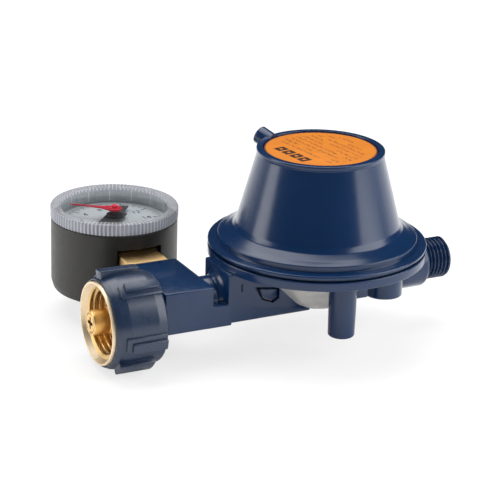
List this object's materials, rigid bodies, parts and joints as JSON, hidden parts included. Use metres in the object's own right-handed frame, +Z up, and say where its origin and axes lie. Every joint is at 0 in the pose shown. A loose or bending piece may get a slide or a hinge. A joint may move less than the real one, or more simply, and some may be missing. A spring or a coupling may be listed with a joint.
{
  "type": "gas pressure regulator",
  "caption": "Low-pressure gas regulator: conical bonnet on a round cast body, hand-turned union nut inlet, threaded outlet and a round dial gauge on a side stem.",
  "frame": {"origin": "middle of the bounding box's footprint, level with the lowest point of the union nut", "axes": "+Z up along the axis of the bonnet, +X along the gas flow from the union nut to the outlet thread, +Y towards the side the gauge stands on"},
  "size_m": [0.1228, 0.099, 0.0631],
  "materials": {
    "cast": "satin enamel",
    "nut_plastic": "satin",
    "brass": "machined",
    "steel": "plain",
    "alu": "plain",
    "rubber": "matt",
    "label": "printed foil",
    "case": "satin",
    "lens": "clear",
    "dial": "matt",
    "black": "matt",
    "red": "gloss"
  },
  "bodies": {
    "regulator": {"lower_body": "cast", "bonnet": "cast", "rating_label": "label", "main_spring": "steel", "nozzle": "brass", "lever_pin": "steel", "inlet_nipple": "brass", "inlet_strainer": "steel", "gauge_stem": "brass", "gauge_case": "case", "bourdon_tube": "brass", "tip_link": "brass", "movement_frame": "brass", "gauge_dial": "dial"},
    "union_nut": {"union_nut_shell": "nut_plastic", "union_nut_insert": "brass"},
    "dial_cover": {"gauge_lens": "lens", "red_marker": "red"},
    "gauge_sector": {"sector_gear": "brass"},
    "gauge_hand": {"pinion_shaft": "steel", "gauge_pointer": "black"},
    "setting_screw": {"adjusting_screw": "alu"},
    "relief_valve_stem": {"relief_stem": "brass", "relief_retainer": "brass"},
    "diaphragm_group": {"diaphragm_plate": "alu", "diaphragm": "rubber", "relief_spring": "steel"},
    "valve_lever": {"lever": "steel"},
    "valve": {"valve_slider": "brass", "valve_pad": "rubber"}
  },
  "joints": [
    {"name": "union_nut_turn", "type": "hinge", "parent": "regulator", "child": "union_nut", "pos_m": [-0.0511, -0.01537, 0.01455], "axis": [1, 0, 0], "continuous": true},
    {"name": "dial_cover_turn", "type": "hinge", "parent": "regulator", "child": "dial_cover", "pos_m": [-0.03445, 0.02913, 0.03245], "axis": [0, 0, 1], "continuous": true},
    {"name": "sector_swing", "type": "hinge", "parent": "regulator", "child": "gauge_sector", "pos_m": [-0.03445, 0.03993, 0.02245], "axis": [0, 0, 1], "range_deg": [0, 33.75]},
    {"name": "pointer_turn", "type": "hinge", "parent": "regulator", "child": "gauge_hand", "pos_m": [-0.03445, 0.02913, 0.02545], "axis": [0, 0, 1], "range_deg": [-270, 0]},
    {"name": "setting_screw_turn", "type": "hinge", "parent": "regulator", "child": "setting_screw", "pos_m": [0.0149, -0.01537, 0.05745], "axis": [0, 0, 1], "range_deg": [-180, 180]},
    {"name": "diaphragm_travel", "type": "slide", "parent": "regulator", "child": "relief_valve_stem", "axis": [0, 0, 1], "range_m": [0, 0.0016], "deforming": ["main_spring", "diaphragm"]},
    {"name": "relief_lift", "type": "slide", "parent": "relief_valve_stem", "child": "diaphragm_group", "axis": [0, 0, 1], "range_m": [0, 0.001], "deforming": ["relief_spring"]},
    {"name": "lever_swing", "type": "hinge", "parent": "regulator", "child": "valve_lever", "pos_m": [0.0269, -0.01537, 0.02405], "axis": [0, 1, 0], "range_deg": [0, 7.7]},
    {"name": "valve_travel", "type": "slide", "parent": "regulator", "child": "valve", "axis": [1, 0, 0], "range_m": [-0.0009, 0]}
  ],
  "couplings": [
    {"joint": "pointer_turn", "follows": "sector_swing", "ratio": -8},
    {"joint": "lever_swing", "follows": "diaphragm_travel", "rad_per_m": 83.333},
    {"joint": "valve_travel", "follows": "diaphragm_travel", "ratio": -0.55}
  ]
}
